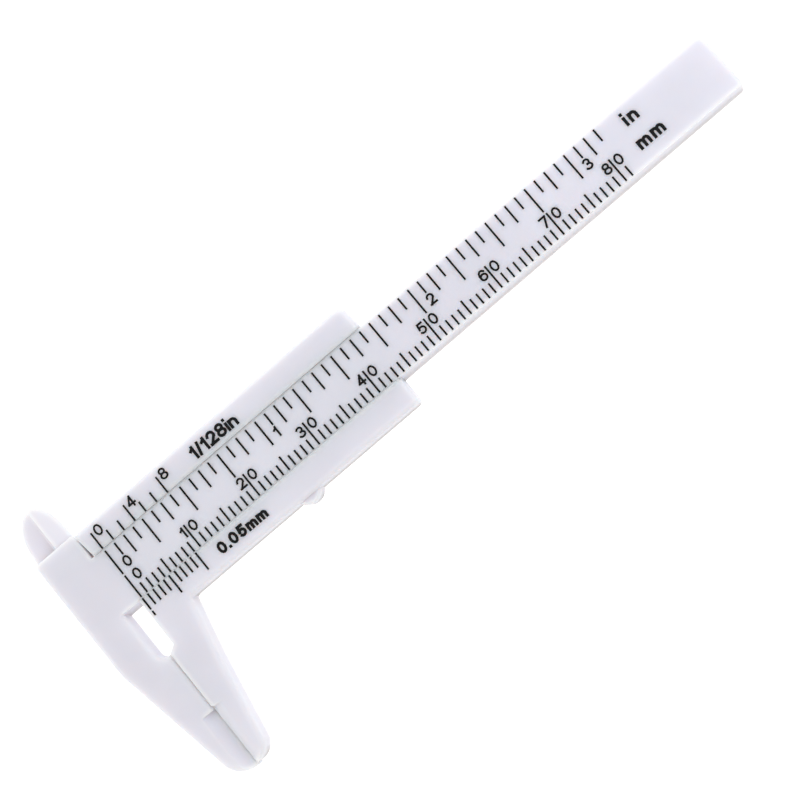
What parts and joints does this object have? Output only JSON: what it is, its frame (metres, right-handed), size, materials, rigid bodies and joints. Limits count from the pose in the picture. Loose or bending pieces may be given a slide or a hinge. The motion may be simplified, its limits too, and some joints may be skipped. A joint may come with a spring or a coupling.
{
  "type": "pocket vernier caliper",
  "caption": "Moulded white plastic pocket caliper: a scale rule with a fixed jaw and a slider with a moving jaw, inside blades, vernier marks and a thumb nub; the slider runs along the rule",
  "frame": {"origin": "on the flat back of the head, on the centre line of the rule, midway across the head's front plate", "axes": "+X along the rule towards its free end, the way the slider opens; +Y across the rule towards the inside blades; +Z out of the graduated front face"},
  "size_m": [0.107, 0.044, 0.0036],
  "materials": {
    "white_plastic": "moulded, satin"
  },
  "bodies": {
    "rule": {"main_beam": "white_plastic"},
    "sliding_frame": {"slider": "white_plastic"}
  },
  "joints": [
    {"name": "slider_travel", "type": "slide", "parent": "rule", "child": "sliding_frame", "axis": [1, 0, 0], "range_m": [0, 0.08]}
  ]
}
